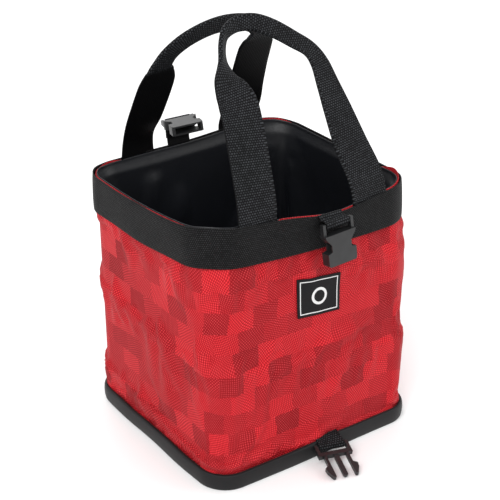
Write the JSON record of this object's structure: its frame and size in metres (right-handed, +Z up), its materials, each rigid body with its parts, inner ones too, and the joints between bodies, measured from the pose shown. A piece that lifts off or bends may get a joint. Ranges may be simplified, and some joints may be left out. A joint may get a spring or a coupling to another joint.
{
  "type": "collapsible pop-up tote bag",
  "caption": "Open-topped soft tote basket with check cloth walls on a hidden pop-up spring, webbing handles and side-release buckles that hold it shut when flattened.",
  "frame": {"origin": "bottom centre of the bag: middle of the base panel, on the surface it stands on", "axes": "+Z up out of the open top, the front with the label and the hanging socket faces -Y, +X to the right seen from the front"},
  "size_m": [0.2304, 0.3176, 0.4003],
  "materials": {
    "red_check_cloth": "woven check, dull sheen",
    "black_webbing": "coarse plain-weave webbing",
    "black_binding": "smooth woven tape",
    "black_nylon": "thin nylon, slight sheen",
    "stiff_board": "hidden stiffener",
    "woven_label": "woven patch, plain border",
    "spring_steel": "round spring wire",
    "cap_vinyl": "dipped vinyl",
    "buckle_plastic": "satin moulded acetal"
  },
  "bodies": {
    "base": {"base_panel": "black_nylon", "base_board": "stiff_board", "floor_lining": "black_nylon", "base_binding": "black_binding", "outer_wall": "red_check_cloth", "wall_lining": "black_nylon", "pop_up_spring": "spring_steel", "spring_end_caps": "cap_vinyl", "label_patch": "woven_label", "plug_tab_ends": "black_webbing"},
    "rim": {"rim_band": "black_webbing", "rim_hem": "red_check_cloth", "front_handle_ends": "black_webbing", "back_handle_ends": "black_webbing", "socket_tab_ends": "black_webbing"},
    "front_handle": {"front_handle": "black_webbing"},
    "back_handle": {"back_handle": "black_webbing"},
    "front_socket_tab": {"front_socket_tab": "black_webbing"},
    "front_socket": {"front_socket": "buckle_plastic"},
    "back_socket_tab": {"back_socket_tab": "black_webbing"},
    "back_socket": {"back_socket": "buckle_plastic"},
    "front_plug_tab": {"front_plug_tab": "black_webbing"},
    "front_plug": {"front_plug": "buckle_plastic"},
    "front_plug_left_arm": {"front_plug_left_arm": "buckle_plastic"},
    "front_plug_right_arm": {"front_plug_right_arm": "buckle_plastic"},
    "back_plug_tab": {"back_plug_tab": "black_webbing"},
    "back_plug": {"back_plug": "buckle_plastic"},
    "back_plug_left_arm": {"back_plug_left_arm": "buckle_plastic"},
    "back_plug_right_arm": {"back_plug_right_arm": "buckle_plastic"}
  },
  "joints": [
    {"name": "collapse", "type": "slide", "parent": "base", "child": "rim", "axis": [0, 0, -1], "range_m": [0, 0.16], "stiffness_N_per_m": 60, "springref_m": -0.06, "deforming": ["outer_wall", "wall_lining", "pop_up_spring", "spring_end_caps", "label_patch"]},
    {"name": "front_handle_fold", "type": "hinge", "parent": "rim", "child": "front_handle", "pos_m": [0, -0.1046, 0.2495], "axis": [-1, 0, 0], "range_deg": [-169, 10]},
    {"name": "back_handle_fold", "type": "hinge", "parent": "rim", "child": "back_handle", "pos_m": [0, 0.1046, 0.2495], "axis": [1, 0, 0], "range_deg": [-170, 13]},
    {"name": "front_socket_tab_fold", "type": "hinge", "parent": "rim", "child": "front_socket_tab", "pos_m": [0.012, -0.1046, 0.2468], "axis": [-1, 0, 0], "range_deg": [0, 184]},
    {"name": "front_socket_swivel", "type": "hinge", "parent": "front_socket_tab", "child": "front_socket", "pos_m": [0.014, -0.1116, 0.23], "axis": [-0.9986, 0, -0.0523], "range_deg": [-8, 100]},
    {"name": "back_socket_tab_fold", "type": "hinge", "parent": "rim", "child": "back_socket_tab", "pos_m": [-0.007, 0.1046, 0.2468], "axis": [1, 0, 0], "range_deg": [-144, 37]},
    {"name": "back_socket_swivel", "type": "hinge", "parent": "back_socket_tab", "child": "back_socket", "pos_m": [-0.007, 0.1044, 0.265], "axis": [0.9563, -0.2711, 0.1095], "range_deg": [-72, 17]},
    {"name": "front_plug_tab_fold", "type": "hinge", "parent": "base", "child": "front_plug_tab", "pos_m": [0.012, -0.1046, 0.0169], "axis": [-1, 0, 0], "range_deg": [0, 74]},
    {"name": "front_plug_swivel", "type": "hinge", "parent": "front_plug_tab", "child": "front_plug", "pos_m": [0.01, -0.1192, 0.0105], "axis": [0.9563, -0.2924, 0], "range_deg": [-110, 0.8]},
    {"name": "front_plug_left_arm_squeeze", "type": "hinge", "parent": "front_plug", "child": "front_plug_left_arm", "pos_m": [-0.0038, -0.12807, 0.00784], "axis": [-0.0608, -0.1988, 0.9781], "range_deg": [0, 6], "stiffness_Nm_per_rad": 0.01},
    {"name": "front_plug_right_arm_squeeze", "type": "hinge", "parent": "front_plug", "child": "front_plug_right_arm", "pos_m": [0.01648, -0.13427, 0.00784], "axis": [0.0608, 0.1988, -0.9781], "range_deg": [0, 6], "stiffness_Nm_per_rad": 0.01},
    {"name": "back_plug_tab_fold", "type": "hinge", "parent": "base", "child": "back_plug_tab", "pos_m": [-0.007, 0.1046, 0.0169], "axis": [1, 0, 0], "range_deg": [0, 100]},
    {"name": "back_plug_swivel", "type": "hinge", "parent": "back_plug_tab", "child": "back_plug", "pos_m": [-0.009, 0.1192, 0.0105], "axis": [-0.9563, -0.2924, 0], "range_deg": [-110, 0.8]},
    {"name": "back_plug_left_arm_squeeze", "type": "hinge", "parent": "back_plug", "child": "back_plug_left_arm", "pos_m": [-0.0228, 0.12807, 0.00784], "axis": [0.0608, -0.1988, -0.9781], "range_deg": [0, 6], "stiffness_Nm_per_rad": 0.01},
    {"name": "back_plug_right_arm_squeeze", "type": "hinge", "parent": "back_plug", "child": "back_plug_right_arm", "pos_m": [-0.00252, 0.13427, 0.00784], "axis": [-0.0608, 0.1988, 0.9781], "range_deg": [0, 6], "stiffness_Nm_per_rad": 0.01}
  ]
}
